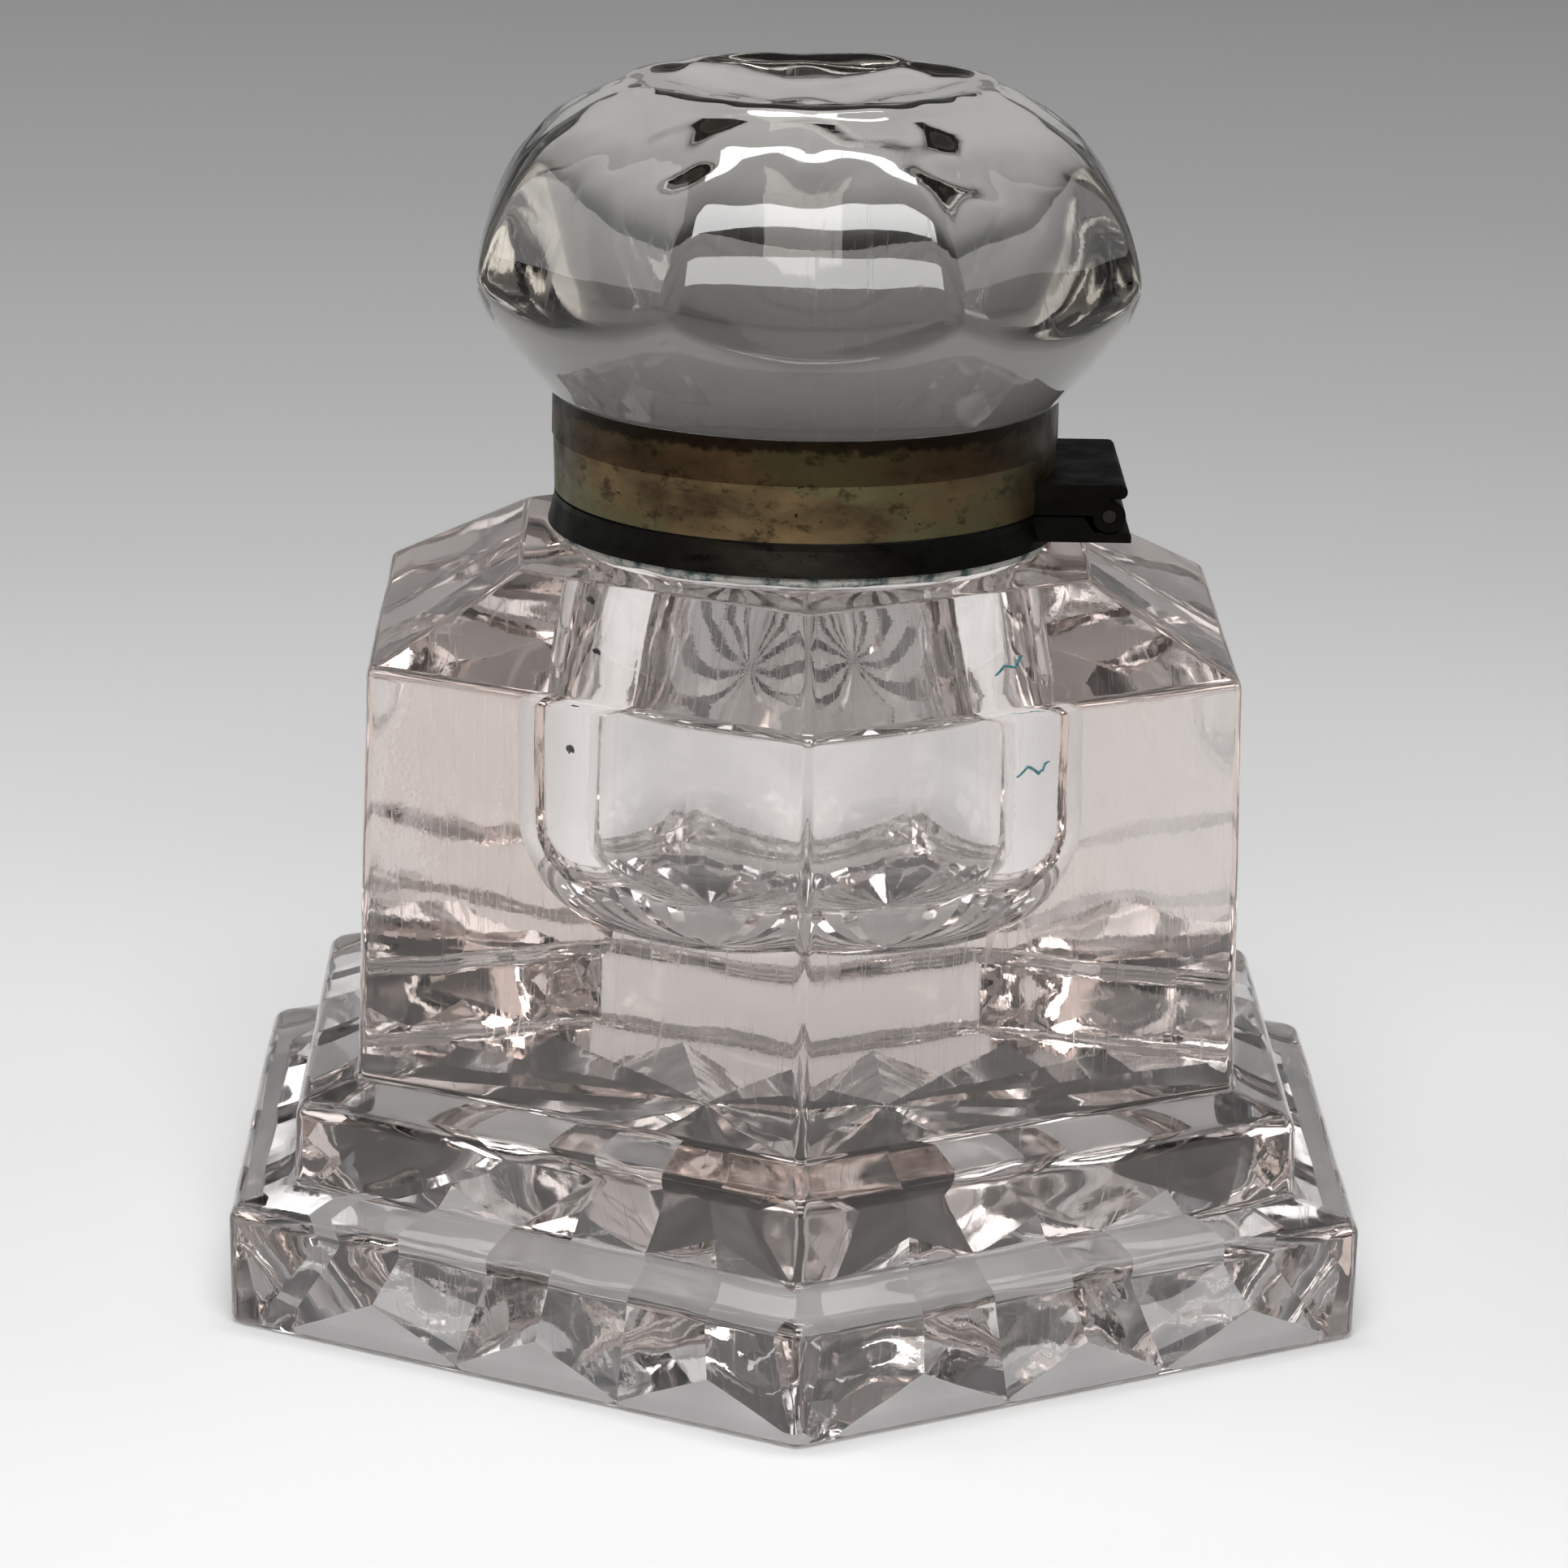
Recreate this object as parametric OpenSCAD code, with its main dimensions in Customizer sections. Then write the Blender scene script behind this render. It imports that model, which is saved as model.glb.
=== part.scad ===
// Hexagonal glass ink bottle with a hinged, brass-mounted glass lid.
// Millimetres. +Z is up, the origin is under the centre of the base,
// the hinge is on the +X side and a corner of the hexagon points to -Y.

/* [Glass base] */
// Width of the base plate across its flats
base_width = 92.4; // [86:0.2:98]
// Height of the base plate where the middle tier rises from it
base_height = 11.2; // [9:0.2:14]
// Width of the middle tier across its flats
tier_width = 81.8; // [78:0.2:84]
// Height of the middle tier where the body rises from it
tier_height = 8.4; // [6:0.2:11]
// Fall of each ledge from the wall behind it to its outer edge
ledge_fall = 1.3; // [0.6:0.1:2]
// Radius of the softened edges of the glass
edge_radius = 1.0; // [0.4:0.1:1.5]

/* [Glass body] */
// Width of the body across its flats, at its foot
body_foot_width = 71.7; // [69:0.1:74]
// Width of the body across its flats, under the shoulder
body_top_width = 70.8; // [67:0.1:71.4]
// Height of the body's upright faces
body_height = 34.4; // [30:0.2:40]
// Height of the sloping shoulder
shoulder_height = 6.8; // [5:0.1:9]
// Width across flats of the small platform that the neck stands on
platform_width = 46.8; // [44:0.2:50]

/* [Neck and ink well] */
// Height of the glass neck above the platform
neck_height = 3.8; // [3.4:0.1:4.4]
// Diameter of the glass neck
neck_diameter = 39.2; // [38.6:0.1:39.6]
// Diameter of the ink well
well_diameter = 35.2; // [30:0.2:35.6]
// Depth of the ink well below the mouth
well_depth = 34.6; // [25:0.2:42]
// Radius between the wall and the floor of the ink well
well_corner = 9; // [3:0.5:10]

/* [Fluted hollow underneath] */
// Number of flutes, which run up the wall of the hollow and meet in a star at its middle
flute_count = 18; // [12:6:24]
// Height of the hollow at its middle
hollow_height = 15; // [13.5:0.5:17]
// Height of a flute where the wall turns into the star
hollow_shoulder = 12.2; // [10:0.2:13]
// Height of a flute at the flat rim
gable_height = 3.6; // [2.4:0.1:4.2]
// Fall of a flute's sides for each millimetre across it
flute_slope = 0.46; // [0.3:0.02:0.6]
// Distance that the wall of the hollow leans inwards between the rim and the star
wall_lean = 9; // [8:0.5:12]
// Width of the flat rim that the bottle stands on
rim_width = 3.2; // [3:0.2:6]
// Turn of the star away from the corners of the hexagon, in degrees
star_turn = 2; // [-3:0.5:3]

/* [Brass mounts] */
// Outer diameter of the lid's rings
ring_diameter = 42; // [41.6:0.1:43]
// Thickness of the sheet brass
brass_wall = 0.6; // [0.5:0.05:0.7]
// Height of the fixed ring round the neck
neck_ring_height = 2.6; // [2.3:0.1:2.8]
// Height of the lid's lower ring
lid_ring_height = 4.7; // [4:0.1:5.5]
// Height of the lid's upper ring
bezel_height = 3.7; // [3:0.1:4.5]
// Gap between the lid's lower ring and the neck ring when the lid is shut
shut_gap = 0.2; // [0.15:0.05:0.3]

/* [Hinge] */
// Length of the hinge along its pin
hinge_length = 18; // [14:0.5:20]
// Length of the centre knuckle
centre_knuckle_length = 6; // [4:0.5:8]
// Distance of the pin from the axis of the bottle
pin_offset = 25; // [24.8:0.1:25.6]
// Radius of the knuckles
knuckle_radius = 1.35; // [1.2:0.05:1.4]
// Radius of the pin
pin_radius = 0.55; // [0.4:0.05:0.6]
// Radial clearance of the pin in the lid's two knuckles
pin_clearance = 0.05; // [0.02:0.01:0.1]

/* [Glass lid] */
// Greatest width of the lid across its flats
lid_width = 54.6; // [52:0.2:57]
// Height of the facets' widest level above the lid's upper ring
lid_widest_level = 8.6; // [7.5:0.1:10]
// Greatest diameter of the round knob that the facets are cut into
knob_diameter = 59.2; // [57.8:0.2:60]
// Height of the knob's widest level above the lid's upper ring
knob_widest_level = 11.7; // [11:0.1:12.4]
// Radius of the bulging upper part of the lid's profile
lid_bulge_radius = 18; // [17:0.2:19]
// Width of the hollowed octagonal top across its flats
table_width = 28.8; // [26:0.2:31]
// Depth of the hollow in the top
table_dish = 2; // [1:0.1:2.5]

/* [Hidden] */
$fn = 128;

glass_colour = [0.80, 0.76, 0.78, 0.55];
brass_colour = [0.42, 0.35, 0.20];
dark_brass_colour = [0.16, 0.15, 0.12];
plaster_colour = [0.86, 0.84, 0.78];
steel_colour = [0.45, 0.43, 0.40];

// how far a cutting shape runs past what it cuts, and a joined shape into what it joins
over = 1;

// outline of the glass
base_ledge_share = 0.7;
ledge_root_step = 0.1;
ledge_root_radius = 0.4;

// length and depth of the ridges that shape the hollow
ridge_length = 4 * base_width;

// levels, from the table upwards
mouth_cover = 0.25;
lid_underside_rise = 1.2;
tier_z = base_height;
body_z = tier_z + tier_height;
shoulder_z = body_z + body_height;
platform_z = shoulder_z + shoulder_height;
mouth_z = platform_z + neck_height;
neck_ring_top = mouth_z + mouth_cover;
neck_ring_z = neck_ring_top - neck_ring_height;
lid_ring_z = neck_ring_top + shut_gap;
bezel_z = lid_ring_z + lid_ring_height;
lid_glass_z = bezel_z + bezel_height;
widest_z = lid_glass_z + lid_widest_level;
pin_z = neck_ring_top + shut_gap / 2;

// rings
ring_r = ring_diameter / 2;
ring_taper = 0.2;
ring_foot_flare = 0.3;
neck_ring_band = 0.5;
bezel_step = 0.05;
mouth_lip = 0.4;
bore_r = ring_r - ring_taper - brass_wall;
neck_r = neck_diameter / 2;
lip_r = well_diameter / 2 + mouth_lip;
stub_r = 19.2;
lid_underside_z = lid_ring_z + lid_underside_rise;
lap_height = 1.5;
lap_wall = 0.45;

// plaster: its clearance over the platform, its bead under the neck ring, its recess in the lid
bead_clearance = 0.3;
bead_foot = 0.5;
bead_top = 0.35;
cement_recess = 0.4;

// outline of the lid
lid_foot_inset = 0.4;
lid_facet_steps = 12;
dish_share = 0.97;

// outline of the knob: a bowl that ends upright, and a dome
bowl_lead = 2;
bowl_steps = 8;
dome_height = 16.8;
dome_power = 1.8;
dome_steps = 10;
dome_end = 0.985;

// hinge, in the plane of its profile; sizes are measured from the pin's axis
running_gap = 0.15;
knuckle_gap = 0.1;
leaf_top = 2.65;
tail_end = 1.45;
tail_underside = knuckle_radius + running_gap;
lower_leaf_foot = -2.18;
lip_end = 1.85;
lip_top = -1.33;
lip_round = 0.38;
cradle_top_x = -2.1;
cradle_foot_x = -1.25;
leaf_root_x = -7;
tail_overlap = 0.5;
pin_inset = 0.1;

// one rounded corner of an outline: b is the corner, a and c are its neighbours
function corner(a, b, c, r, steps) =
    let (u = (a - b) / norm(a - b), v = (c - b) / norm(c - b), half = acos(u * v) / 2)
    let (centre = b + (u + v) / norm(u + v) * r / sin(half), p = b + u * r / tan(half))
    let (q = b + v * r / tan(half), from = atan2(p.y - centre.y, p.x - centre.x))
    let (to = atan2(q.y - centre.y, q.x - centre.x), turn = (to - from + 540) % 360 - 180)
    [for (i = [0:steps]) centre + r * [cos(from + turn * i / steps), sin(from + turn * i / steps)]];

// an outline of [x, y, radius] points with its corners rounded
function rounded(points, steps = 4) =
    [for (i = [0:len(points) - 1])
        let (b = points[i], a = points[(i + len(points) - 1) % len(points)])
        let (c = points[(i + 1) % len(points)])
        each (b.z > 0 ? corner([a.x, a.y], [b.x, b.y], [c.x, c.y], b.z, steps) : [[b.x, b.y]])];

// a half outline, from the axis at its foot to the axis at its top, completed by its mirror image
function mirrored(half) =
    concat(half, [for (i = [len(half) - 1:-1:0]) if (half[i].x > 0) [-half[i].x, half[i].y]]);

// a slab whose cross-section, seen along Y, is the outline
module slab(outline, length) {
    rotate([90, 0, 0]) linear_extrude(height = length, center = true) polygon(outline);
}

// the flat-sided solid with 6 sides that has this outline across its flats
module six_sided(outline) {
    intersection() {
        slab(outline, 2 * base_width);
        rotate([0, 0, 60]) slab(outline, 2 * base_width);
        rotate([0, 0, 120]) slab(outline, 2 * base_width);
    }
}

// the same with 8 sides
module eight_sided(outline) {
    intersection() {
        slab(outline, 2 * lid_width);
        rotate([0, 0, 45]) slab(outline, 2 * lid_width);
        rotate([0, 0, 90]) slab(outline, 2 * lid_width);
        rotate([0, 0, 135]) slab(outline, 2 * lid_width);
    }
}

// half of the glass outline: base plate, middle tier, body, shoulder, platform
function glass_half_outline() =
    let (base = base_width / 2, tier = tier_width / 2, foot = body_foot_width / 2)
    let (top = body_top_width / 2, platform = platform_width / 2, e = edge_radius)
    rounded([
        [0, 0, 0], [base, 0, e],
        [base, tier_z - ledge_fall * base_ledge_share, e],
        [tier + ledge_root_step, tier_z, ledge_root_radius],
        [tier, body_z - ledge_fall, e],
        [foot + ledge_root_step, body_z, ledge_root_radius],
        [top, shoulder_z, e], [platform, platform_z, e], [0, platform_z, 0]]);

// a V-shaped ridge over the X axis that rises from left_z at left to right_z at right; it is
// solid below, and long, wide and deep enough to hold the whole hollow
module ridge(left, left_z, right, right_z) {
    tilt = atan((right_z - left_z) / (right - left));
    slope = flute_slope * cos(tilt);
    side = base_width;
    foot = -ridge_length;
    translate([left, 0, left_z]) rotate([0, -tilt, 0]) translate([-ridge_length / 2, 0, 0])
        rotate([90, 0, 90]) linear_extrude(height = ridge_length)
            polygon([[0, 0], [-side, -side * slope], [-side, foot], [side, foot], [side, -side * slope]]);
}

// two opposite flutes along X whose ends are at the distance reach from the axis
module flute_pair(reach) {
    knee = reach - wall_lean;
    intersection() {
        ridge(0, hollow_height, knee, hollow_shoulder);
        ridge(-knee, hollow_shoulder, 0, hollow_height);
        ridge(knee, hollow_shoulder, reach, gable_height);
        ridge(-reach, gable_height, -knee, hollow_shoulder);
    }
}

module fluted_hollow() {
    inner = base_width / 2 - rim_width;
    top = hollow_height + over;
    pitch = 360 / flute_count;
    intersection() {
        six_sided(mirrored([[0, -over], [inner, -over], [inner, top], [0, top]]));
        union() for (i = [0:flute_count / 2 - 1])
            let (turn = 90 + star_turn + (i + 0.5) * pitch, from_flat = (turn + 30) % 60 - 30)
            rotate([0, 0, turn]) flute_pair(inner / cos(from_flat));
    }
}

module ink_well() {
    r = well_diameter / 2;
    floor_z = mouth_z - well_depth;
    rotate_extrude() union() {
        translate([0, floor_z + well_corner]) square([r, well_depth - well_corner + over]);
        translate([0, floor_z]) square([r - well_corner, well_corner + over]);
        translate([r - well_corner, floor_z + well_corner]) intersection() {
            circle(r = well_corner);
            translate([-over, -well_corner]) square(well_corner + over);
        }
    }
}

module bottle_body() {
    color(glass_colour) difference() {
        union() {
            six_sided(mirrored(glass_half_outline()));
            translate([0, 0, platform_z - over]) cylinder(r = neck_r, h = neck_height + over);
        }
        ink_well();
        fluted_hollow();
    }
}

// the outer surface of the neck ring, as a solid
module neck_ring_solid() {
    rotate_extrude() polygon([
        [0, neck_ring_z], [ring_r + ring_foot_flare, neck_ring_z],
        [ring_r - ring_taper, neck_ring_top - neck_ring_band],
        [ring_r - ring_taper, neck_ring_top], [0, neck_ring_top]]);
}

module neck_collar() {
    color(dark_brass_colour) difference() {
        neck_ring_solid();
        translate([0, 0, neck_ring_z - over]) cylinder(r = bore_r, h = mouth_z - neck_ring_z + over);
        translate([0, 0, neck_ring_z - over]) cylinder(r = lip_r, h = neck_ring_height + 2 * over);
    }
}

// plaster between the neck and its ring, squeezed out a little below the ring
module neck_cement() {
    squeeze = neck_ring_z - platform_z - bead_clearance;
    color(plaster_colour) difference() {
        rotate_extrude() polygon([
            [neck_r, mouth_z], [neck_r, neck_ring_z - squeeze],
            [neck_r + bead_foot, neck_ring_z - squeeze], [bore_r + bead_top, neck_ring_z],
            [bore_r, neck_ring_z], [bore_r, mouth_z]]);
        translate([0, 0, platform_z - over]) cylinder(r = neck_r, h = neck_height + 2 * over);
    }
}

// the outer surface of the lid's lower ring, as a solid
module lid_ring_solid() {
    rotate_extrude() polygon([
        [0, lid_ring_z], [ring_r - ring_taper, lid_ring_z],
        [ring_r - bezel_step, bezel_z], [0, bezel_z]]);
}

module lid_collar() {
    color(brass_colour) difference() {
        lid_ring_solid();
        translate([0, 0, lid_ring_z - over]) cylinder(r = bore_r, h = lid_ring_height + 2 * over);
    }
}

// the lid's upper ring, with a sleeve that laps into the lower ring
module lid_bezel() {
    color(brass_colour) difference() {
        union() {
            translate([0, 0, bezel_z]) cylinder(r = ring_r + bezel_step, h = bezel_height);
            translate([0, 0, bezel_z - lap_height]) cylinder(r = bore_r, h = lap_height);
        }
        translate([0, 0, bezel_z - lap_height - over])
            cylinder(r = bore_r - lap_wall, h = lap_height + bezel_height + 2 * over);
    }
}

module lid_cement() {
    sleeve_r = bore_r - lap_wall;
    cement_z = lid_underside_z + cement_recess;
    color(plaster_colour) difference() {
        union() {
            translate([0, 0, cement_z]) cylinder(r = sleeve_r, h = lid_glass_z - cement_z);
            translate([0, 0, cement_z]) cylinder(r = bore_r, h = bezel_z - lap_height - cement_z);
        }
        translate([0, 0, cement_z - over])
            cylinder(r = stub_r, h = lid_glass_z - cement_z + 2 * over);
    }
}

// half of the facets' outline: an arc from the lid's upper ring to the hollowed top
function facet_half_outline() =
    let (r = lid_bulge_radius, centre = [lid_width / 2 - r, widest_z])
    let (start = asin((lid_glass_z - widest_z) / r), end = acos((table_width / 2 - centre.x) / r))
    concat(
        [[0, lid_glass_z]],
        [for (i = [0:lid_facet_steps]) let (turn = start + (end - start) * i / lid_facet_steps)
            centre + r * [cos(turn), sin(turn)]],
        [[0, widest_z + r * sin(end)]]);

// half of the round knob's outline, from its foot in the upper ring to above the hollowed top
function knob_half_outline() =
    let (r = knob_diameter / 2, foot = ring_r - lid_foot_inset, z = lid_glass_z + knob_widest_level)
    concat(
        [[0, lid_glass_z]],
        [for (i = [0:bowl_steps]) let (t = i / bowl_steps, u = 1 - t)
            [r - (r - foot) * u * u,
             lid_glass_z * u * u + 2 * (z - bowl_lead) * t * u + z * t * t]],
        [for (i = [1:dome_steps]) let (turn = 90 * dome_end * i / dome_steps)
            [r * pow(cos(turn), 2 / dome_power), z + dome_height * pow(sin(turn), 2 / dome_power)]],
        [[0, z + dome_height]]);

module lid_glass() {
    r = lid_bulge_radius;
    table = table_width / 2;
    top = widest_z + r * sin(acos((table - lid_width / 2 + r) / r));
    dish_r = (pow(table * dish_share, 2) + pow(table_dish, 2)) / (2 * table_dish);
    color(glass_colour) difference() {
        union() {
            intersection() {
                eight_sided(mirrored(facet_half_outline()));
                rotate_extrude() polygon(knob_half_outline());
            }
            translate([0, 0, lid_underside_z])
                cylinder(r = stub_r, h = lid_glass_z - lid_underside_z + over);
        }
        translate([0, 0, top - table_dish + dish_r]) sphere(r = dish_r);
    }
}

// places a profile drawn round the pin's axis, and gives it its length along the pin
module along_pin(from, to) {
    translate([pin_offset, 0, pin_z]) rotate([90, 0, 0])
        translate([0, 0, -to]) linear_extrude(height = to - from) children();
}

module pin_bore(radius, from, to) {
    along_pin(from, to) circle(r = radius, $fn = 64);
}

// the plate of the lower leaf, with the cradle for the knuckles and the lip at its end
module lower_leaf_profile() {
    foot = lower_leaf_foot;
    difference() {
        union() {
            polygon([[leaf_root_x, foot], [lip_end - lip_round, foot], [lip_end - lip_round, lip_top],
                     [cradle_foot_x, lip_top], [cradle_top_x, -shut_gap / 2],
                     [leaf_root_x, -shut_gap / 2]]);
            translate([lip_end - lip_round, lip_top - lip_round]) circle(r = lip_round, $fn = 48);
            translate([lip_end - lip_round, foot]) square([lip_round, lip_top - lip_round - foot]);
        }
        circle(r = knuckle_radius + running_gap, $fn = 64);
    }
}

module lower_hinge_leaf() {
    half = hinge_length / 2;
    centre = centre_knuckle_length / 2;
    color(dark_brass_colour) difference() {
        union() {
            along_pin(-half, half) lower_leaf_profile();
            along_pin(-centre, centre) union() {
                translate([cradle_top_x, lower_leaf_foot])
                    square([-cradle_top_x, -shut_gap / 2 - lower_leaf_foot]);
                translate([0, lower_leaf_foot]) square([knuckle_radius, -lower_leaf_foot]);
                circle(r = knuckle_radius, $fn = 64);
            }
        }
        pin_bore(pin_radius, -half, half);
        neck_ring_solid();
    }
}

module hinge_pin() {
    half = hinge_length / 2 - pin_inset;
    color(steel_colour) pin_bore(pin_radius, -half, half);
}

// block and tail of the upper leaf; the tail comes down on the lip when the lid is open
module upper_leaf_profile() {
    tail_round = (leaf_top - tail_underside) / 2;
    union() {
        translate([leaf_root_x, shut_gap / 2]) square([-leaf_root_x, leaf_top - shut_gap / 2]);
        translate([-tail_overlap, tail_underside])
            square([tail_end - tail_round + tail_overlap, 2 * tail_round]);
        translate([tail_end - tail_round, tail_underside + tail_round]) circle(r = tail_round, $fn = 48);
    }
}

module upper_hinge_leaf() {
    half = hinge_length / 2;
    centre = centre_knuckle_length / 2 + knuckle_gap;
    color(dark_brass_colour) difference() {
        union() {
            along_pin(-centre, centre) difference() {
                upper_leaf_profile();
                circle(r = knuckle_radius + running_gap, $fn = 64);
            }
            for (side = [-1, 1])
                along_pin(side > 0 ? centre : -half, side > 0 ? half : -centre) union() {
                    upper_leaf_profile();
                    circle(r = knuckle_radius, $fn = 64);
                }
        }
        pin_bore(pin_radius + pin_clearance, -half - over, half + over);
        lid_ring_solid();
    }
}

bottle_body();
neck_cement();
neck_collar();
lower_hinge_leaf();
hinge_pin();
upper_hinge_leaf();
lid_collar();
lid_bezel();
lid_cement();
lid_glass();
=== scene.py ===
import math

import bpy
import numpy as np
from mathutils import Matrix, Vector, noise


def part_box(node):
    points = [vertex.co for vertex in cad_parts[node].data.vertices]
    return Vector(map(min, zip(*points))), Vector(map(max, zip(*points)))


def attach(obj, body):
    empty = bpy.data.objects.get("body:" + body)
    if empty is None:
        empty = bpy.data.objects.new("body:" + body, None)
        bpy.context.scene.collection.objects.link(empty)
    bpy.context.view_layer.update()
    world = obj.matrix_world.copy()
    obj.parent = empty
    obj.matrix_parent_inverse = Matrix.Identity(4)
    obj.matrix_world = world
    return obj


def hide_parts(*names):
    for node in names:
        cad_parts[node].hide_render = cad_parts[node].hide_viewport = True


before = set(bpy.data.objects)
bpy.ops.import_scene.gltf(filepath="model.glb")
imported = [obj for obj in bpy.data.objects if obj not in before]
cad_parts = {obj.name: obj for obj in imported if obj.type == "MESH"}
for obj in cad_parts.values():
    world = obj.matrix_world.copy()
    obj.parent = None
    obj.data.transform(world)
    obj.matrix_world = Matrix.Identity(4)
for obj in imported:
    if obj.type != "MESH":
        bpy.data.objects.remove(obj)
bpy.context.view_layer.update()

MM = 0.001


def node_box(name):
    """Lowest and highest corner of a CAD node, in millimetres."""
    low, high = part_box(name)
    return np.array(low) / MM, np.array(high) / MM


# ---------------------------------------------------------------- sizes, in millimetres

_, BODY_HIGH = node_box("bottle_body")
RING_LOW, _ = node_box("neck_collar")
_, BEZEL_HIGH = node_box("lid_bezel")
LID_LOW, LID_HIGH = node_box("lid_glass")

# the bottle's levels, from the mouth down to the ledge of the base
NECK_HEIGHT = 3.8
SHOULDER_HEIGHT = 6.8
BODY_HEIGHT = 34.4
TIER_HEIGHT = 8.4
MOUTH_Z = BODY_HIGH[2]
PLATFORM_Z = MOUTH_Z - NECK_HEIGHT
SHOULDER_Z = PLATFORM_Z - SHOULDER_HEIGHT
BODY_Z = SHOULDER_Z - BODY_HEIGHT
TIER_Z = BODY_Z - TIER_HEIGHT

# half the width across the flats at each level: the base, and how far the others stand in from it
TIER_INSET = 5.3
BODY_FOOT_INSET = 10.35
BODY_TOP_INSET = 10.8
PLATFORM_INSET = 22.8
BASE = BODY_HIGH[0]
TIER = BASE - TIER_INSET
BODY_FOOT = BASE - BODY_FOOT_INSET
BODY_TOP = BASE - BODY_TOP_INSET
PLATFORM = BASE - PLATFORM_INSET

# neck and ink well
NECK_R = 19.6
WELL_R = 17.6
WELL_DEPTH = 34.6
WELL_FLOOR_Z = MOUTH_Z - WELL_DEPTH
WELL_CORNER = 9.0

# fluted hollow underneath: a star in the middle, and a leaning wall outside the knee
RIM = 3.2                            # from the hollow to the side of the base
FLUTES = 18
CENTRE_Z = 15.0
KNEE_Z = 12.2
KNEE_SHARE = 0.79                    # place of the knee between the axis and the rim
GABLE_Z = 3.6
FLUTE_SLOPE = 0.46
STAR_TURN = math.radians(2.0 - 90.0)

# glass lid: eight bulging facets cut into a round knob, with a hollowed top
WIDEST_RISE = 8.6
LID_HALF = LID_HIGH[0]
LID_TOP_Z = LID_HIGH[2]
LID_FOOT_Z = BEZEL_HIGH[2]
LID_WIDEST_Z = LID_FOOT_Z + WIDEST_RISE
LID_BULGE = 18.0
KNOB_R = 29.6
KNOB_Z = 85.2
BOWL_LEAD = 2.0
DOME_HEIGHT = 16.8
DOME_POWER = 1.8
TABLE = 14.4
TABLE_DISH = 2.0
STUB_R = 19.3                        # 0.1 mm into the cement, so that it is seen through the glass
RING_R = BEZEL_HIGH[0]


# ---------------------------------------------------------------- mesh helpers

def make_object(name, vertices, faces, material, sharp_angle=None):
    """A mesh object from vertices in millimetres."""
    mesh = bpy.data.meshes.new(name)
    mesh.from_pydata((np.asarray(vertices) * MM).tolist(), [], faces)
    mesh.validate()
    mesh.shade_smooth()
    if sharp_angle is not None:
        mesh.set_sharp_from_angle(angle=math.radians(sharp_angle))
    mesh.materials.append(material)
    obj = bpy.data.objects.new(name, mesh)
    bpy.context.scene.collection.objects.link(obj)
    return obj


def loft(rings, close_first=True, close_last=True):
    """Vertices and faces of a skin over rings of equal length, closed by a point at each end."""
    rings = np.asarray(rings, float)
    count, size, _ = rings.shape
    vertices = rings.reshape(-1, 3).tolist()
    faces = []
    for k in range(count - 1):
        low, high = k * size, (k + 1) * size
        for i in range(size):
            j = (i + 1) % size
            faces.append((low + i, low + j, high + j, high + i))
    if close_first:
        centre = len(vertices)
        vertices.append(rings[0].mean(0).tolist())
        faces += [(centre, (i + 1) % size, i) for i in range(size)]
    if close_last:
        centre = len(vertices)
        last = (count - 1) * size
        vertices.append(rings[-1].mean(0).tolist())
        faces += [(centre, last + i, last + (i + 1) % size) for i in range(size)]
    return vertices, faces


def face_outwards(vertices, faces):
    """The faces of a closed skin, all turned round if they point inwards."""
    points = np.asarray(vertices)
    volume = 0.0
    for face in faces:
        for i in range(1, len(face) - 1):
            volume += np.dot(points[face[0]], np.cross(points[face[i]], points[face[i + 1]])) / 6
    return faces if volume >= 0 else [tuple(reversed(face)) for face in faces]


def fillet(points, steps=6):
    """Rounds the corners of an outline of (x, y, radius) points; the ends stay as they are."""
    out = [np.array(points[0][:2], float)]
    for before, here, after in zip(points, points[1:], points[2:]):
        a, b, c = (np.array(p[:2], float) for p in (before, here, after))
        radius = here[2]
        if radius <= 0:
            out.append(b)
            continue
        u = (a - b) / np.linalg.norm(a - b)
        v = (c - b) / np.linalg.norm(c - b)
        half = math.acos(float(np.clip(u @ v, -1, 1))) / 2
        centre = b + (u + v) / np.linalg.norm(u + v) * radius / math.sin(half)
        start = b + u * radius / math.tan(half) - centre
        end = b + v * radius / math.tan(half) - centre
        first = math.atan2(start[1], start[0])
        turn = (math.atan2(end[1], end[0]) - first + math.pi) % (2 * math.pi) - math.pi
        for i in range(steps + 1):
            angle = first + turn * i / steps
            out.append(centre + radius * np.array([math.cos(angle), math.sin(angle)]))
    out.append(np.array(points[-1][:2], float))
    return np.array(out)


def refine(outline, longest):
    """Adds points so that no step of the outline is longer than this."""
    out = [outline[0]]
    for a, b in zip(outline, outline[1:]):
        pieces = max(1, math.ceil(np.linalg.norm(b - a) / longest))
        out += [a + (b - a) * i / pieces for i in range(1, pieces + 1)]
    return np.array(out)


def polygon_radius(angles, sides, apothem, corner, first_flat=0.0):
    """Distance from the axis to a regular polygon with rounded corners, at each angle."""
    sector = 2 * math.pi / sides
    corner = np.minimum(corner, apothem * 0.9999)
    phi = np.abs((angles - first_flat + sector / 2) % sector - sector / 2)
    tangent = np.arctan((apothem - corner) * math.tan(sector / 2) / apothem)
    centre = (apothem - corner) / math.cos(sector / 2)
    delta = sector / 2 - phi
    arc = centre * np.cos(delta) + np.sqrt(np.maximum(corner ** 2 - (centre * np.sin(delta)) ** 2, 0))
    return np.where(phi <= tangent, apothem / np.cos(phi), arc)


def ring_points(angles, radii, heights):
    """Points of one ring of a loft, from cylindrical coordinates."""
    return np.stack([radii * np.cos(angles), radii * np.sin(angles),
                     heights * np.ones_like(angles)], -1)


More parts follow.
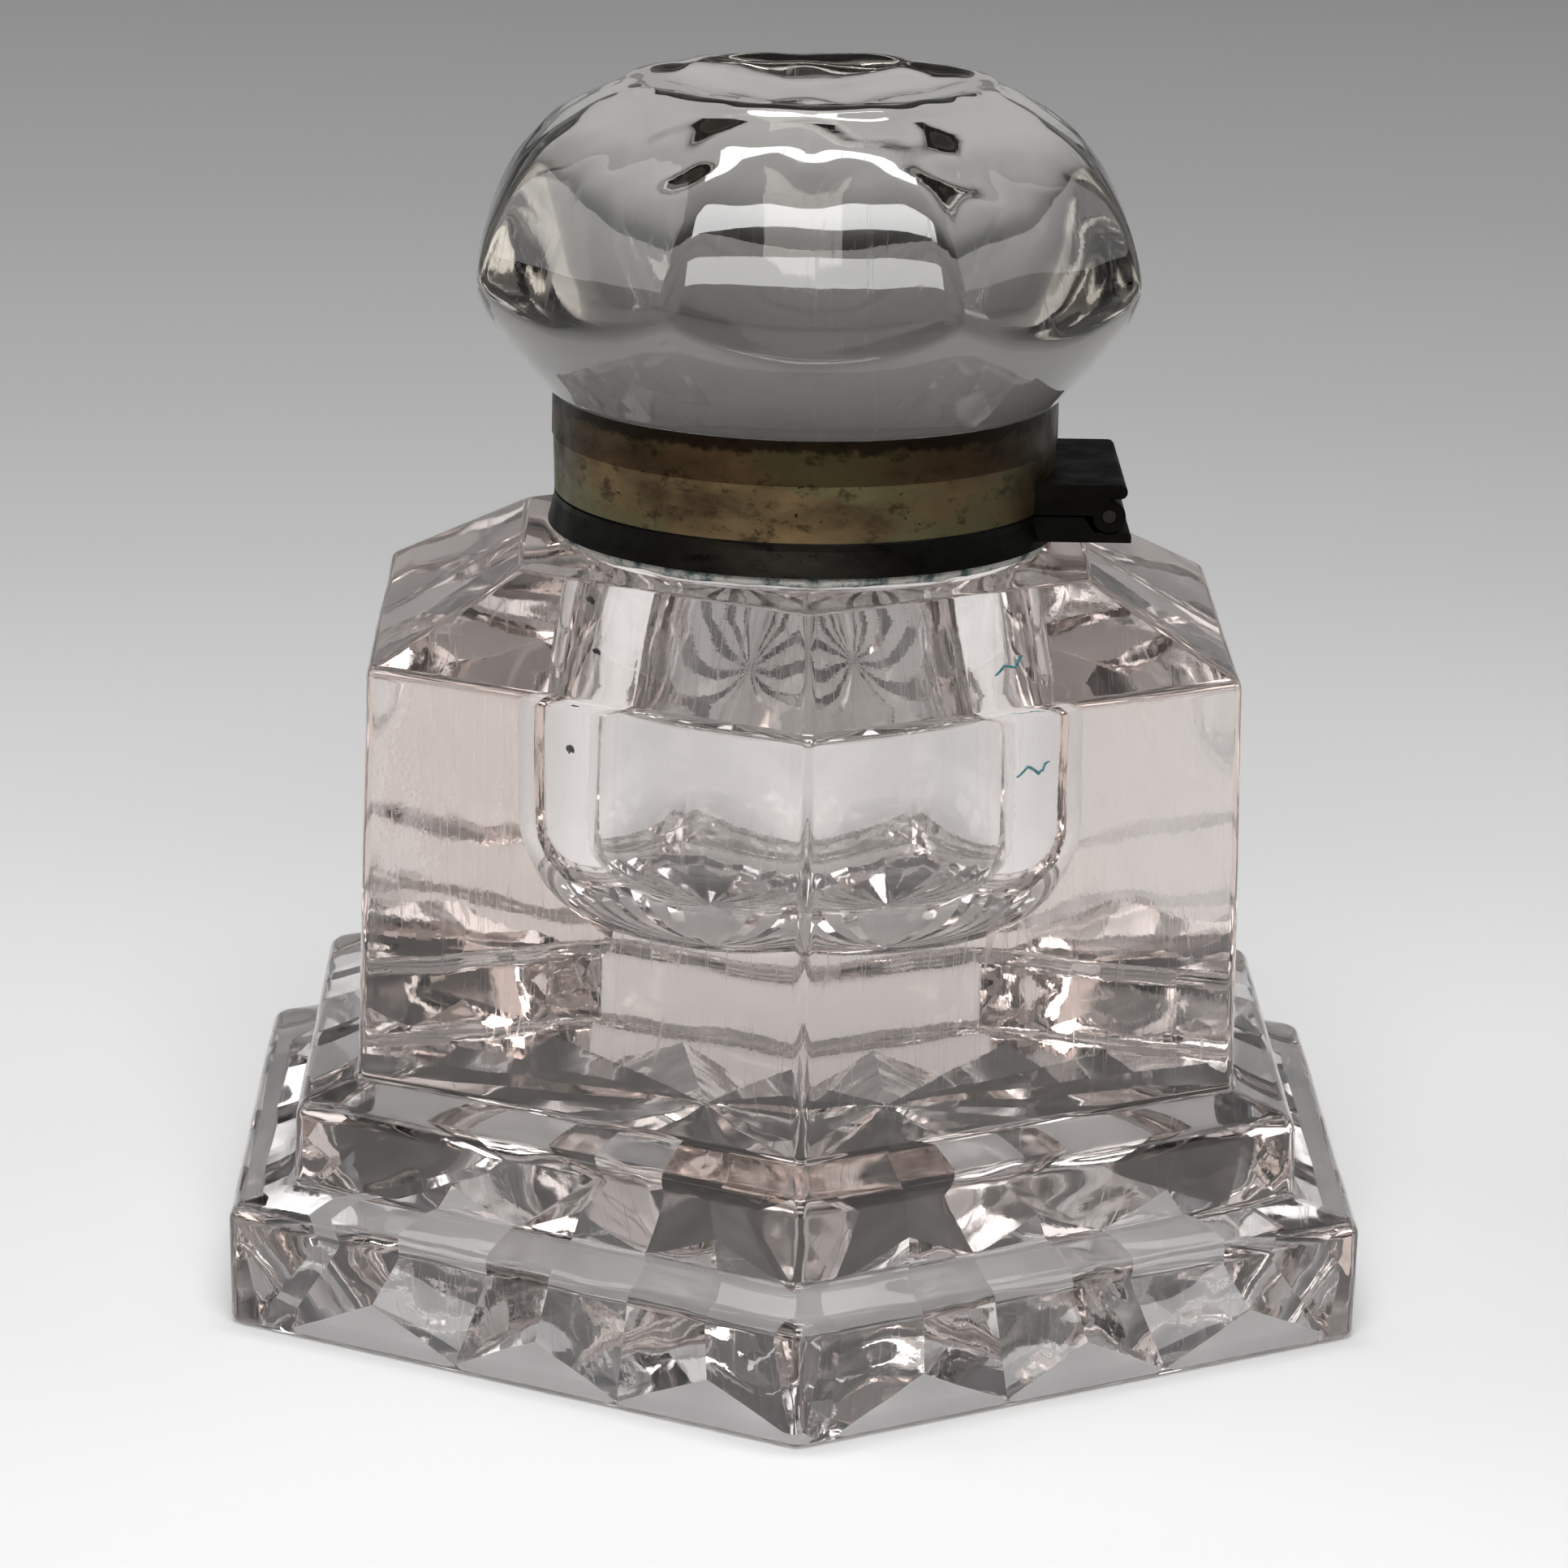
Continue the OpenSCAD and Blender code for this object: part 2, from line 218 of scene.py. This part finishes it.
def waves(points, amplitude, wavelength, seed):
    """Slow random relief, one value per point."""
    shift = Vector((seed * 17.3, seed * 5.1, seed * 9.7))
    flat = points.reshape(-1, 3) / wavelength
    values = [noise.noise(Vector(p) + shift) for p in flat.tolist()]
    return np.array(values).reshape(points.shape[:-1]) * amplitude


# ---------------------------------------------------------------- materials

def new_material(name):
    material = bpy.data.materials.new(name)
    material.use_nodes = True
    shader = material.node_tree.nodes["Principled BSDF"]
    return material, material.node_tree, shader


def add_node(tree, kind, inputs=None, **settings):
    node = tree.nodes.new(kind)
    for key, value in settings.items():
        setattr(node, key, value)
    for key, value in (inputs or {}).items():
        if isinstance(value, bpy.types.NodeSocket):
            tree.links.new(value, node.inputs[key])
        else:
            node.inputs[key].default_value = value
    return node


def position(tree, scale=(1.0, 1.0, 1.0)):
    """Object position in millimetres, stretched by scale."""
    place = add_node(tree, "ShaderNodeTexCoord").outputs["Object"]
    factor = [s / MM for s in scale]
    return add_node(tree, "ShaderNodeVectorMath", {0: place, 1: factor},
                    operation="MULTIPLY").outputs[0]


def noise_value(tree, vector, scale, detail=4.0, roughness=0.55):
    return add_node(tree, "ShaderNodeTexNoise",
                    {"Vector": vector, "Scale": scale, "Detail": detail,
                     "Roughness": roughness}).outputs["Fac"]


def ramp(tree, value, stops):
    """A colour ramp; each stop is (position, grey or (r, g, b))."""
    node = add_node(tree, "ShaderNodeValToRGB", {"Fac": value})
    elements = node.color_ramp.elements
    elements.remove(elements[1])
    for index, (place, colour) in enumerate(stops):
        element = elements.new(place) if index else elements[0]
        element.position = place
        element.color = (*colour, 1.0) if isinstance(colour, tuple) else (colour, colour, colour, 1.0)
    return node.outputs["Color"]


def mix(tree, factor, a, b):
    node = tree.nodes.new("ShaderNodeMix")
    node.data_type = "RGBA"
    for index, value in ((0, factor), (6, a), (7, b)):
        if isinstance(value, bpy.types.NodeSocket):
            tree.links.new(value, node.inputs[index])
        else:
            node.inputs[index].default_value = (*value, 1.0) if isinstance(value, tuple) else value
    return node.outputs[2]


def math_node(tree, operation, *values, clamp=False):
    inputs = {i: v for i, v in enumerate(values)}
    return add_node(tree, "ShaderNodeMath", inputs, operation=operation, use_clamp=clamp).outputs[0]


def bump(tree, shader, height, strength, distance):
    node = add_node(tree, "ShaderNodeBump", {"Height": height, "Strength": strength,
                                             "Distance": distance * MM})
    tree.links.new(node.outputs["Normal"], shader.inputs["Normal"])


def scratches(tree, scale, angle, width):
    """Thin random lines: 1 on a line, 0 elsewhere."""
    place = position(tree)
    turned = add_node(tree, "ShaderNodeMapping", {"Vector": place, "Rotation": angle,
                                                  "Scale": (scale, scale * 0.03, scale * 0.03)})
    lines = add_node(tree, "ShaderNodeTexVoronoi", {"Vector": turned.outputs[0], "Scale": 1.0},
                     feature="DISTANCE_TO_EDGE").outputs["Distance"]
    return math_node(tree, "LESS_THAN", lines, width)


def ledge_wear(tree, place, top):
    """Extra roughness on upward faces lower than top: the tops of the ledges are worn matt in patches."""
    upward = add_node(tree, "ShaderNodeSeparateXYZ",
                      {0: add_node(tree, "ShaderNodeNewGeometry").outputs["True Normal"]}).outputs["Z"]
    height = add_node(tree, "ShaderNodeSeparateXYZ", {0: place}).outputs["Z"]
    facing = math_node(tree, "GREATER_THAN", upward, 0.8)
    low = math_node(tree, "LESS_THAN", height, top)
    patches = ramp(tree, noise_value(tree, place, 0.3, 5.0, 0.6), [(0.38, 0.015), (0.62, 0.07)])
    return math_node(tree, "MULTIPLY", patches, math_node(tree, "MULTIPLY", facing, low))


def glass_material(name, absorb, density, worn_below=None):
    material, tree, shader = new_material(name)
    shader.inputs["Base Color"].default_value = (1.0, 1.0, 1.0, 1.0)
    shader.inputs["Transmission Weight"].default_value = 1.0
    shader.inputs["IOR"].default_value = 1.52
    place = position(tree)
    rough = ramp(tree, noise_value(tree, place, 0.18, 6.0), [(0.35, 0.0), (0.75, 0.035)])
    lines = scratches(tree, 0.9, (0.3, 0.5, 0.8), 0.012)
    total = math_node(tree, "ADD", rough, math_node(tree, "MULTIPLY", lines, 0.12))
    if worn_below:
        total = math_node(tree, "ADD", total, ledge_wear(tree, place, worn_below))
    tree.links.new(total, shader.inputs["Roughness"])
    pits = noise_value(tree, place, 1.3, 3.0)
    bump(tree, shader, pits, 0.05, 0.05)
    volume = add_node(tree, "ShaderNodeVolumeAbsorption",
                      {"Color": (*absorb, 1.0), "Density": density})
    tree.links.new(volume.outputs[0], tree.nodes["Material Output"].inputs["Volume"])
    return material


def brass_material(name, dark, mid, bright, patina, rough=(0.32, 0.6), right_side_painted_shade=0.6,
                   dark_band_z=None):
    """Aged brass: brown and olive mottling, dark pits, turning lines, and painted shade that darkens the
    right side, towards the hinge.
    """
    material, tree, shader = new_material(name)
    shader.inputs["Metallic"].default_value = 1.0
    place = position(tree)
    clouds = noise_value(tree, position(tree, (1, 1, 2.2)), 0.11, 6.0, 0.62)
    colour = ramp(tree, clouds, [(0.30, dark), (0.47, mid), (0.70, bright)])
    green = ramp(tree, noise_value(tree, position(tree, (0.8, 0.8, 2.0)), 0.09, 4.0, 0.6),
                 [(0.46, 0.0), (0.60, 0.85)])
    colour = mix(tree, green, colour, patina)
    pits = ramp(tree, noise_value(tree, place, 1.5, 2.0, 0.6), [(0.24, 1.0), (0.31, 0.0)])
    colour = mix(tree, pits, colour, tuple(0.4 * c for c in dark))
    blotches = ramp(tree, noise_value(tree, position(tree, (1, 1, 1.6)), 0.42, 6.0, 0.72),
                    [(0.36, 0.75), (0.46, 0.0)])
    colour = mix(tree, blotches, colour, tuple(0.7 * c for c in dark))
    axes = add_node(tree, "ShaderNodeSeparateXYZ", {0: place}).outputs
    # darker in a band along the top edge, from just below the lid glass's foot upwards
    if dark_band_z is not None:
        rise = math_node(tree, "SUBTRACT", axes["Z"], dark_band_z)
        torn = noise_value(tree, place, 0.6, 5.0, 0.7)
        dark_band = ramp(tree, math_node(tree, "MULTIPLY_ADD", torn, 2.4, rise), [(0.55, 0.0), (1.0, 0.85)])
        colour = mix(tree, dark_band, colour, tuple(0.45 * c for c in dark))
    # painted shade: the colour darkens towards +x, the hinge side, in place of the weaker light on the
    # right
    ragged = math_node(tree, "MULTIPLY_ADD", clouds, 14.0, axes["X"])
    painted_shade_right = ramp(tree, math_node(tree, "DIVIDE", ragged, 40.0), [(0.25, 0.0), (0.75, right_side_painted_shade)])
    colour = mix(tree, painted_shade_right, colour, tuple(0.6 * c for c in dark))
    tree.links.new(colour, shader.inputs["Base Color"])
    smear = ramp(tree, noise_value(tree, place, 0.35, 5.0), [(0.3, rough[0]), (0.7, rough[1])])
    tree.links.new(smear, shader.inputs["Roughness"])
    turning = noise_value(tree, position(tree, (0.15, 0.15, 6.0)), 1.0, 3.0)
    relief = math_node(tree, "ADD", math_node(tree, "MULTIPLY", turning, 0.4),
                       noise_value(tree, place, 1.6, 5.0))
    bump(tree, shader, relief, 0.25, 0.06)
    return material


def plaster_material(name, colour, stain):
    material, tree, shader = new_material(name)
    place = position(tree)
    stains = ramp(tree, noise_value(tree, place, 0.45, 6.0, 0.65),
                  [(0.40, stain), (0.52, colour), (0.75, tuple(min(1, 1.1 * c) for c in colour))])
    tree.links.new(stains, shader.inputs["Base Color"])
    shader.inputs["Roughness"].default_value = 0.9
    bump(tree, shader, noise_value(tree, place, 2.2, 6.0, 0.7), 0.7, 0.2)
    return material


BODY_GLASS = glass_material("body_glass", (0.77, 0.66, 0.61), 11.0, BODY_Z + 0.6)
LID_GLASS = glass_material("lid_glass", (0.66, 0.63, 0.58), 20.0)
RING_BRASS = brass_material("aged_brass", (0.045, 0.030, 0.017), (0.12, 0.084, 0.044),
                            (0.21, 0.145, 0.072), (0.13, 0.125, 0.062))
BEZEL_BRASS = brass_material("aged_brass_bezel", (0.018, 0.012, 0.008), (0.052, 0.032, 0.016),
                             (0.10, 0.062, 0.030), (0.055, 0.046, 0.022), dark_band_z=LID_FOOT_Z - 0.6)
DARK_BRASS = brass_material("dark_brass", (0.006, 0.006, 0.005), (0.011, 0.010, 0.009),
                            (0.026, 0.022, 0.017), (0.013, 0.013, 0.011), (0.42, 0.66))
PIN_STEEL = brass_material("pin_steel", (0.02, 0.018, 0.016), (0.06, 0.05, 0.04),
                           (0.12, 0.10, 0.08), (0.05, 0.045, 0.04))
PLASTER = plaster_material("plaster", (0.72, 0.71, 0.66), (0.10, 0.16, 0.15))
BLUE_INK = plaster_material("blue_ink", (0.05, 0.42, 0.50), (0.02, 0.20, 0.30))
GREEN_INK = plaster_material("green_ink", (0.16, 0.34, 0.28), (0.08, 0.16, 0.14))
DARK_INK = plaster_material("dark_ink", (0.05, 0.05, 0.06), (0.02, 0.02, 0.03))
STAINED_PLASTER = plaster_material("plaster_stained", (0.060, 0.052, 0.043), (0.02, 0.018, 0.016))


# ---------------------------------------------------------------- the bottle's glass

def body_angles():
    """Angles that put points close together at the six corners, and one on each line of the flutes."""
    close = [0.0, 0.12, 0.25, 0.38, 0.52, 0.68, 0.88, 1.15, 1.5]
    steps = close + list(np.arange(2.0, 30.01, 1.0))
    half = sorted(set(round(s, 4) for s in steps))
    sector = [-s for s in reversed(half[1:-1])] + half
    return np.radians(np.concatenate([np.array(sector) + 60 * k + 30 for k in range(6)]))


def hollow_height(angles, radii):
    """Height of the fluted hollow above the table at each point of the underside."""
    sector = 2 * math.pi / FLUTES
    phi = (angles - STAR_TURN) % sector - sector / 2
    share = radii / polygon_radius(angles, 6, BASE - RIM, 0.01)
    crest = np.interp(share, [0, KNEE_SHARE, 1], [CENTRE_Z, KNEE_Z, GABLE_Z])
    return np.maximum(crest - FLUTE_SLOPE * np.abs(radii * np.sin(phi)), 0)


def bottle_glass():
    """One skin: the hollow underneath, the outside up to the neck, and the inside of the well."""
    angles = body_angles()
    corner = 1.3
    outline = refine(fillet([
        (BASE - RIM, 0, 0), (BASE - 0.15, 0, 0.9), (BASE, TIER_Z - 0.95, 1.5), (TIER + 0.15, TIER_Z, 0.7),
        (TIER, BODY_Z - 1.5, 1.7), (BODY_FOOT + 0.15, BODY_Z, 0.7),
        (BODY_TOP, SHOULDER_Z, 1.3), (PLATFORM, PLATFORM_Z, 1.3), (PLATFORM - 1.6, PLATFORM_Z, 0)]), 1.6)
    rings = []
    reach = polygon_radius(angles, 6, BASE - RIM, corner)
    shares = [0.02, *np.linspace(0.06, KNEE_SHARE, 22), *np.linspace(KNEE_SHARE, 1.0, 14)[1:]]
    for share in shares:
        rings.append(ring_points(angles, reach * share, hollow_height(angles, reach * share)))
    for apothem, z in outline:
        rings.append(ring_points(angles, polygon_radius(angles, 6, apothem, corner), z))
    # from the hexagonal platform to the round neck, over the mouth and down the well
    round_part = refine(fillet([
        (NECK_R + 1.2, PLATFORM_Z, 0), (NECK_R, PLATFORM_Z + 0.1, 0.5), (NECK_R, MOUTH_Z, 0.5),
        (WELL_R, MOUTH_Z, 0.6), (WELL_R, WELL_FLOOR_Z, WELL_CORNER), (0.6, WELL_FLOOR_Z, 0)], 12), 1.6)
    for radius, z in round_part:
        rings.append(ring_points(angles, radius * np.ones_like(angles), z))
    rings = np.array(rings)
    lift = waves(rings, 0.07, 14.0, 1) + waves(rings, 0.03, 5.0, 2)
    outward = rings.copy()
    outward[..., 2] = 0
    outward /= np.maximum(np.linalg.norm(outward, axis=-1, keepdims=True), 1e-6)
    # the hollow and the foot of the base keep their shape; the rest is slightly wavy
    outside = np.ones(rings.shape[:2])
    outside[:len(shares) + 1] = 0
    outside *= rings[..., 2] > 1.5
    rings += outward * (lift * outside)[..., None]
    rings[..., 2] += waves(rings, 0.06, 9.0, 3) * outside
    # the flutes have waves of their own
    under = rings[:len(shares)]
    under[..., 2] += (waves(under, 0.13, 4.5, 8) + waves(under, 0.05, 2.0, 9)) * (under[..., 2] > 1.0)
    vertices, faces = loft(rings)
    return make_object("glass_bottle", vertices, face_outwards(vertices, faces), BODY_GLASS, 24)


def plaster_bead():
    """Ragged plaster squeezed out under the neck ring, with lumps."""
    angles = np.linspace(0, 2 * math.pi, 361)[:-1]
    inner = NECK_R - 0.25
    ring_z = RING_LOW[2]
    outer = NECK_R + 0.55
    profile = [(inner, MOUTH_Z), (outer, MOUTH_Z), (outer, ring_z), (NECK_R + 0.85, ring_z - 0.1),
               (NECK_R + 1.0, ring_z - 0.5), (NECK_R + 0.75, ring_z - 0.9), (inner, ring_z - 1.1)]
    rings = np.array([ring_points(angles, r * np.ones_like(angles), z) for r, z in profile])
    lumps = waves(rings, 0.22, 4.5, 11) + waves(rings, 0.12, 1.8, 12)
    for i in (3, 4, 5):              # the rings of the bead itself, below the brass
        push = (1 + lumps[i] / np.linalg.norm(rings[i][:, :2], axis=1))[:, None]
        rings[i][:, :2] *= push
        rings[i][:, 2] += 0.8 * lumps[(i + 1) % 6]
    vertices, faces = loft(rings, close_first=False, close_last=False)
    count = len(angles)
    last = (len(rings) - 1) * count
    faces += [(k, last + k, last + (k + 1) % count, (k + 1) % count) for k in range(count)]
    return make_object("plaster_bead", vertices, face_outwards(vertices, faces), PLASTER)


def ink_stain(name, stations, material):
    """A thin dried film on the wall of the well; stations are (azimuth, height, half width) along it."""
    outer, inner = WELL_R + 0.06, WELL_R - 0.05
    vertices, faces = [], []
    for azimuth, height, half in stations:
        turn = math.radians(azimuth)
        for radius, z in ((outer, height - half), (outer, height + half), (inner, height + half),
                          (inner, height - half)):
            vertices.append((radius * math.cos(turn), radius * math.sin(turn), z))
    for k in range(len(stations) - 1):
        a, b = 4 * k, 4 * (k + 1)
        faces += [(a + i, b + i, b + (i + 1) % 4, a + (i + 1) % 4) for i in range(4)]
    end = 4 * (len(stations) - 1)
    faces += [(0, 1, 2, 3), (end + 3, end + 2, end + 1, end)]
    stain = make_object(name, vertices, face_outwards(vertices, faces), material)
    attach(stain, "bottle")


def ink_stains():
    """A blue streak, two smears under the neck and two dark blots, as dried ink leaves them."""
    rng = np.random.default_rng(17)
    for name, start, end, height, waver, half, material in (
            ("ink_squiggle", -40, -26, 45.4, 0.35, 0.14, BLUE_INK),
            ("ink_smear", -118, -104, 61.5, 0.12, 0.45, BLUE_INK),
            ("ink_smear_right", -72, -50, 61.8, 0.10, 0.35, GREEN_INK),
            ("ink_blot_left", -157, -153, 52.0, 0.05, 0.45, DARK_INK),
            ("ink_blot_low", -149, -146, 46.5, 0.05, 0.35, DARK_INK)):
        azimuths = np.linspace(start, end, 15)
        drift = waver * np.sin(np.linspace(0, 9, 15) + rng.uniform(0, 6)) + rng.normal(0, 0.06, 15)
        widths = half * np.sin(np.linspace(0.15, math.pi - 0.15, 15)) ** 0.5 * rng.uniform(0.6, 1.0, 15)
        ink_stain(name, list(zip(azimuths, height + drift, widths)), material)


# ---------------------------------------------------------------- the lid's glass

def lid_facet(z):
    """Distance of the eight facets from the axis; they bulge along an arc."""
    return LID_HALF - LID_BULGE + np.sqrt(LID_BULGE ** 2 - (z - LID_WIDEST_Z) ** 2)


def lid_round(z):
    """Radius of the round knob that the facets are cut into: a flared bowl under a dome."""
    t = np.linspace(0, 1, 60)
    bowl_r = KNOB_R - (KNOB_R - RING_R + 0.3) * (1 - t) ** 2
    bowl_z = LID_FOOT_Z * (1 - t) ** 2 + 2 * (KNOB_Z - BOWL_LEAD) * t * (1 - t) + KNOB_Z * t ** 2
    rise = np.maximum(z - KNOB_Z, 0) / DOME_HEIGHT
    dome = KNOB_R * np.maximum(1 - rise ** DOME_POWER, 0) ** (1 / DOME_POWER)
    return np.where(z < KNOB_Z, np.interp(z, bowl_z, bowl_r), dome)


def soft_minimum(a, b, softness):
    """The smaller of two radii, with the edge between them rounded."""
    return -softness * np.log(np.exp(-a / softness) + np.exp(-b / softness))


def lid_glass():
    """One skin: the stub in the brass rings, the faceted knob, its rounded rim and the hollowed top."""
    angles = np.arange(360) * 2 * math.pi / 360
    facet_corner, softness, proud = 2.6, 0.75, 0.4
    rim_height = 0.6
    stub = refine(fillet([(1.0, LID_LOW[2] + 0.05, 0), (STUB_R, LID_LOW[2], 0.8),
                          (STUB_R, LID_FOOT_Z - 0.12, 0), (RING_R - 1.0, LID_FOOT_Z - 0.12, 0)], 4), 1.5)
    rings = [ring_points(angles, radius * np.ones_like(angles), z) for radius, z in stub]
    crown_z = LID_TOP_Z - rim_height
    for z in np.linspace(LID_FOOT_Z + 0.1, crown_z, 56):
        facets = polygon_radius(angles, 8, lid_facet(z), facet_corner)
        rings.append(ring_points(angles, soft_minimum(facets, lid_round(z) + proud, softness), z))
    crown = np.linalg.norm(rings[-1][:, :2], axis=1)
    table = polygon_radius(angles, 8, TABLE - 0.8, 5.0)
    for turn in np.radians([25, 50, 75, 90]):
        radii = crown + (table - crown) * (1 - math.cos(turn))
        rings.append(ring_points(angles, radii, crown_z + rim_height * math.sin(turn)))
    for share in np.linspace(0.97, 0.03, 22):
        depth = TABLE_DISH * (1 - share ** 2)
        rings.append(ring_points(angles, table * share, LID_TOP_Z - depth))
    rings = np.array(rings)
    above = rings[..., 2] > LID_FOOT_Z + 0.6
    outward = rings.copy()
    outward[..., 2] -= LID_WIDEST_Z
    outward /= np.maximum(np.linalg.norm(outward, axis=-1, keepdims=True), 1e-6)
    lift = waves(rings, 0.16, 12.0, 5) + waves(rings, 0.035, 4.0, 6)
    high = np.clip((rings[..., 2] - LID_WIDEST_Z - 10.0) / 3.0, 0, 1)
    lift += waves(rings, 0.22, 3.4, 7) * high
    # the chip at the left of the facets' lower edge, with a shallower flake under it
    for place, size, depth in (((-26.6, -3.0, 80.4), 1.9, 1.5), ((-25.0, -5.5, 78.0), 1.5, 0.6)):
        near = np.linalg.norm(rings - np.array(place), axis=-1) / size
        lift -= depth * np.exp(-near ** 4) * (1 + waves(rings, 0.35, 1.6, 10))
    rings += outward * (lift * above)[..., None]
    vertices, faces = loft(rings)
    return make_object("glass_lid", vertices, face_outwards(vertices, faces), LID_GLASS)


bottle = bottle_glass()
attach(bottle, "bottle")
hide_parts("bottle_body")

lid = lid_glass()
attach(lid, "lid")
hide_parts("lid_glass")

bead = plaster_bead()
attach(bead, "bottle")
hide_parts("neck_cement")

ink_stains()

for name, material in (("lid_cement", STAINED_PLASTER), ("neck_collar", DARK_BRASS),
                       ("lower_hinge_leaf", DARK_BRASS), ("upper_hinge_leaf", DARK_BRASS),
                       ("hinge_pin", PIN_STEEL), ("lid_collar", RING_BRASS), ("lid_bezel", BEZEL_BRASS)):
    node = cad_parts[name]
    node.data.materials.clear()
    node.data.materials.append(material)


# ---------------------------------------------------------------- floor, lights and camera

def floor():
    """A pale table with a painted pool of light: lightest near a point in front of the bottle, darker
    with the distance from it.
    """
    pool_centre, reach = 80.0, 1600.0
    material, tree, shader = new_material("floor")
    offset = add_node(tree, "ShaderNodeVectorMath", {0: position(tree), 1: (0.0, pool_centre, 0.0)})
    distance = add_node(tree, "ShaderNodeVectorMath", {0: offset.outputs[0]}, operation="LENGTH")
    share = math_node(tree, "DIVIDE", distance.outputs["Value"], reach)
    # painted light: the colour falls from 0.75 near the bottle to under 0.5 far away, in place of the
    # lamps' falloff
    painted_light_pool = [(0.03, 0.75), (0.064, 0.715), (0.108, 0.67), (0.1325, 0.63), (0.1625, 0.60), (0.21, 0.53),
             (0.27, 0.485), (0.37, 0.465), (0.5, 0.50)]
    tree.links.new(ramp(tree, share, painted_light_pool), shader.inputs["Base Color"])
    shader.inputs["Roughness"].default_value = 0.6
    shader.inputs["Specular IOR Level"].default_value = 0.1
    side = 8000
    obj = make_object("floor", [(-side, -side, 0), (side, -side, 0), (side, side, 0), (-side, side, 0)],
                      [(0, 1, 2, 3)], material)
    obj.location.z = -0.02 * MM


def area_light(name, place, target, size, power):
    data = bpy.data.lights.new(name, "AREA")
    data.shape = "RECTANGLE"
    data.size, data.size_y = size
    data.energy = power
    obj = bpy.data.objects.new(name, data)
    obj.location = place
    obj.rotation_euler = (Vector(target) - Vector(place)).to_track_quat("-Z", "Y").to_euler()
    bpy.context.scene.collection.objects.link(obj)


def strip_light(name, azimuth, elevation, size, radiance):
    """A soft box one metre from the lid, in the direction given in degrees."""
    turn, rise = math.radians(azimuth), math.radians(elevation)
    target = Vector((0, 0, 85.0)) * MM
    toward = Vector((math.cos(rise) * math.cos(turn), math.cos(rise) * math.sin(turn), math.sin(rise)))
    area_light(name, target + toward, target, size, radiance * math.pi * size[0] * size[1])


def lights():
    """A grey studio that darkens upwards, and five soft boxes."""
    world = bpy.data.worlds.new("studio")
    bpy.context.scene.world = world
    world.use_nodes = True
    tree = world.node_tree
    direction = add_node(tree, "ShaderNodeTexCoord").outputs["Generated"]
    height = add_node(tree, "ShaderNodeSeparateXYZ", {0: direction}).outputs["Z"]
    grey = ramp(tree, height, [(0.0, 0.28), (0.1, 0.22), (0.26, 0.13), (0.5, 0.07), (1.0, 0.05)])
    tree.links.new(grey, tree.nodes["Background"].inputs["Color"])
    tree.nodes["Background"].inputs["Strength"].default_value = 1.0
    strip_light("front_high", -90, 59, (0.66, 0.24), 12.0)
    strip_light("front_low", -90, 29, (0.66, 0.27), 7.5)
    strip_light("overhead", 90, 83, (0.60, 0.16), 14.0)
    strip_light("left", 172, 30, (0.60, 0.80), 1.8)
    strip_light("right", 6, 30, (0.50, 0.70), 1.2)


def camera():
    """Stands level with the photographer's: about half a metre away, looking 15 degrees down."""
    distance = 0.522
    elevation, azimuth, roll = (math.radians(a) for a in (15.44, -0.97, 1.13))
    target = Vector((-1.15, 0.0, 39.3)) * MM
    back = Vector((math.sin(azimuth) * math.cos(elevation), -math.cos(azimuth) * math.cos(elevation),
                   math.sin(elevation)))
    right = (-back).cross(Vector((0, 0, 1))).normalized()
    up = right.cross(-back)
    tilted_right = right * math.cos(roll) + up * math.sin(roll)
    tilted_up = up * math.cos(roll) - right * math.sin(roll)
    data = bpy.data.cameras.new("camera")
    data.sensor_width = 36.0
    data.lens = 141.7
    data.clip_start = 0.01
    obj = bpy.data.objects.new("camera", data)
    turn = Matrix((tilted_right, tilted_up, back)).transposed().to_4x4()
    obj.matrix_world = Matrix.Translation(target + back * distance) @ turn
    bpy.context.scene.collection.objects.link(obj)
    bpy.context.scene.camera = obj


floor()
lights()
camera()

scene = bpy.context.scene
scene.view_settings.view_transform = "Standard"
scene.cycles.max_bounces = 24
scene.cycles.transmission_bounces = 24
scene.cycles.glossy_bounces = 8
scene.cycles.sample_clamp_indirect = 4.0
scene.cycles.use_denoising = True
